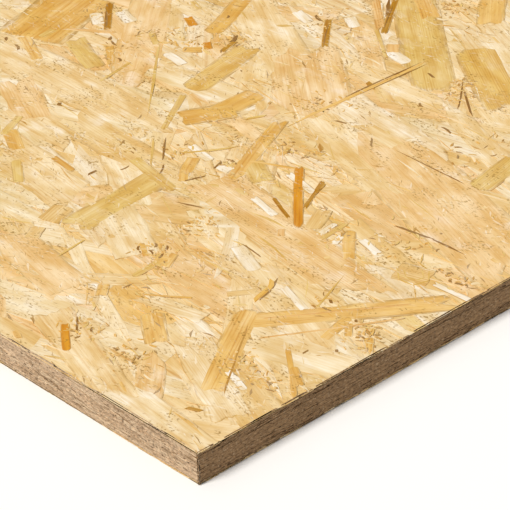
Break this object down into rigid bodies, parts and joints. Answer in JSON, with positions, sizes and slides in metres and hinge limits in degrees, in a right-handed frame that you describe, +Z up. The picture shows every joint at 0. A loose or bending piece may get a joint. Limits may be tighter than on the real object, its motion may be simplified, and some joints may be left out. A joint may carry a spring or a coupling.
{
  "type": "oriented strand board panel",
  "caption": "Full-size, square-edged sheet of oriented strand board, lying flat, with flat faces to fix through and sawn edges to butt against.",
  "frame": {"origin": "middle of the underside, which rests on the floor", "axes": "+X along the sheet's length and its face strands, +Y across the sheet, +Z up through the thickness"},
  "size_m": [2.44, 1.22, 0.018],
  "materials": {
    "strand_board": "pressed wood strands, unsanded, with brown sawn edges"
  },
  "bodies": {
    "root": {"osb_panel": "strand_board"}
  },
  "joints": []
}
